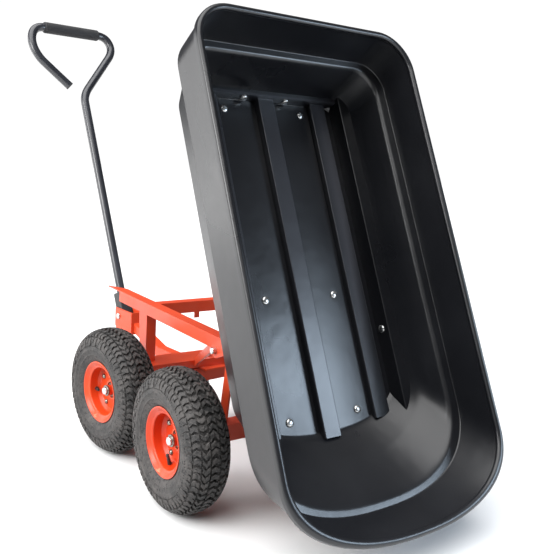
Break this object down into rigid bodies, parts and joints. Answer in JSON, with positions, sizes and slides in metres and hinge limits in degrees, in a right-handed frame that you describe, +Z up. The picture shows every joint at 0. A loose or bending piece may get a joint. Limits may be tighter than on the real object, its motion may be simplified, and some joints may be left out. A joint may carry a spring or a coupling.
{
  "type": "tipping garden cart",
  "caption": "Low wheeled cart with a deep tub tipped back on a rear hinge rod, a steered front axle and a pull handle with an open grip loop.",
  "frame": {"origin": "middle of the resting cart's box in plan, on the ground", "axes": "+X forward to the pull handle, +Y to the left, +Z up"},
  "size_m": [1.4031, 0.5826, 0.9417],
  "materials": {
    "tub_plastic": "satin moulded polyethylene",
    "frame_paint": "gloss orange-red powder coat",
    "rim_paint": "gloss orange-red powder coat",
    "tyre_rubber": "matt black rubber",
    "zinc_plate": "bright zinc plate",
    "handle_paint": "dark grey powder coat",
    "grip_rubber": "matt textured sleeve",
    "black_moulding": "satin black moulding"
  },
  "bodies": {
    "chassis": {"side_rail_left": "frame_paint", "side_rail_right": "frame_paint", "front_leg_left": "frame_paint", "front_leg_right": "frame_paint", "rear_leg_left": "frame_paint", "rear_leg_right": "frame_paint", "brace_left": "frame_paint", "brace_right": "frame_paint", "front_cross_member": "frame_paint", "rear_cross_member": "frame_paint", "bolster": "frame_paint", "rear_axle_beam": "frame_paint", "rear_shaft": "zinc_plate", "tub_hinge_rod": "zinc_plate", "kingpin": "zinc_plate", "axle_cap_rear_left": "zinc_plate", "axle_cap_rear_right": "zinc_plate"},
    "tub_body": {"tub": "tub_plastic", "tub_bed_rail_left": "frame_paint", "tub_bed_rail_right": "frame_paint", "tub_hinge_plate_left": "frame_paint", "tub_hinge_plate_right": "frame_paint", "bench_bolt_left": "zinc_plate", "bench_bolt_right": "zinc_plate", "tub_bolt_1": "zinc_plate", "tub_bolt_2": "zinc_plate", "tub_bolt_3": "zinc_plate", "tub_bolt_4": "zinc_plate", "tub_bolt_5": "zinc_plate", "tub_bolt_6": "zinc_plate"},
    "front_axle": {"front_axle_beam": "frame_paint", "front_shaft": "zinc_plate", "drawbar": "frame_paint", "handle_bracket": "frame_paint", "handle_pin": "zinc_plate", "axle_cap_front_left": "zinc_plate", "axle_cap_front_right": "zinc_plate"},
    "pull_handle": {"handle_fork": "black_moulding", "handle_tube": "handle_paint", "handle_grip": "grip_rubber"},
    "wheel_rear_left": {"tyre_rear_left": "tyre_rubber", "rim_outer_rear_left": "rim_paint", "rim_inner_rear_left": "rim_paint", "hub_rear_left": "zinc_plate", "valve_rear_left": "black_moulding"},
    "wheel_rear_right": {"tyre_rear_right": "tyre_rubber", "rim_outer_rear_right": "rim_paint", "rim_inner_rear_right": "rim_paint", "hub_rear_right": "zinc_plate", "valve_rear_right": "black_moulding"},
    "wheel_front_left": {"tyre_front_left": "tyre_rubber", "rim_outer_front_left": "rim_paint", "rim_inner_front_left": "rim_paint", "hub_front_left": "zinc_plate", "valve_front_left": "black_moulding"},
    "wheel_front_right": {"tyre_front_right": "tyre_rubber", "rim_outer_front_right": "rim_paint", "rim_inner_front_right": "rim_paint", "hub_front_right": "zinc_plate", "valve_front_right": "black_moulding"}
  },
  "joints": [
    {"name": "tub_tip", "type": "hinge", "parent": "chassis", "child": "tub_body", "pos_m": [-0.335, 0, 0.288], "axis": [0, 1, 0], "range_deg": [0, 64.7]},
    {"name": "steering", "type": "hinge", "parent": "chassis", "child": "front_axle", "pos_m": [-0.009, 0, 0.15], "axis": [0, 0, 1], "range_deg": [-18.3, 5.7]},
    {"name": "handle_hinge", "type": "hinge", "parent": "front_axle", "child": "pull_handle", "pos_m": [0.35081, 0.03972, 0.185], "axis": [-0.1097, 0.994, 0], "range_deg": [-35, 77]},
    {"name": "wheel_spin_rear_left", "type": "hinge", "parent": "chassis", "child": "wheel_rear_left", "pos_m": [-0.329, 0.24, 0.13], "axis": [0, 1, 0], "continuous": true},
    {"name": "wheel_spin_rear_right", "type": "hinge", "parent": "chassis", "child": "wheel_rear_right", "pos_m": [-0.329, -0.24, 0.13], "axis": [0, 1, 0], "continuous": true},
    {"name": "wheel_spin_front_left", "type": "hinge", "parent": "front_axle", "child": "wheel_front_left", "pos_m": [-0.03534, 0.23855, 0.13], "axis": [-0.1097, 0.994, 0], "continuous": true},
    {"name": "wheel_spin_front_right", "type": "hinge", "parent": "front_axle", "child": "wheel_front_right", "pos_m": [0.01734, -0.23855, 0.13], "axis": [-0.1097, 0.994, 0], "continuous": true}
  ]
}
